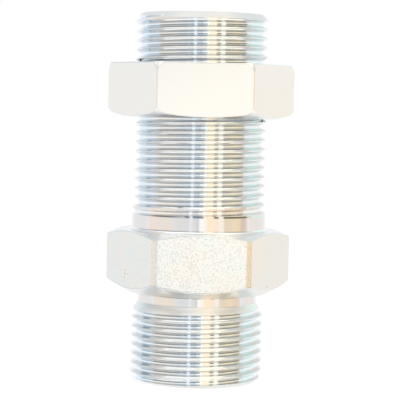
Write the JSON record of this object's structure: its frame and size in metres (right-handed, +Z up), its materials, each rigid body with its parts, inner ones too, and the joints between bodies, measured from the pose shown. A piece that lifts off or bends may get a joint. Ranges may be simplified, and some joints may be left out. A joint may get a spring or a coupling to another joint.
{
  "type": "bulkhead adapter",
  "caption": "Straight male to male pipe bulkhead adapter with a hexagon body, a long panel thread and a hexagon locknut.",
  "frame": {"origin": "centre of the lower end face, which it stands on", "axes": "+Z up the bore's axis, from the short port to the long bulkhead thread; two flats of each hexagon face -Y and +Y"},
  "size_m": [0.0368, 0.032, 0.0724],
  "materials": {
    "body_zinc": "bright zinc plate with a clear blue passivate",
    "nut_zinc": "bright zinc plate, satin on the flats"
  },
  "bodies": {
    "adapter": {"adapter_body": "body_zinc"},
    "nut": {"locknut": "nut_zinc"}
  },
  "joints": [
    {"name": "locknut_travel", "type": "slide", "parent": "adapter", "child": "nut", "axis": [0, 0, 1], "range_m": [-0.01814, 0.00907]}
  ]
}
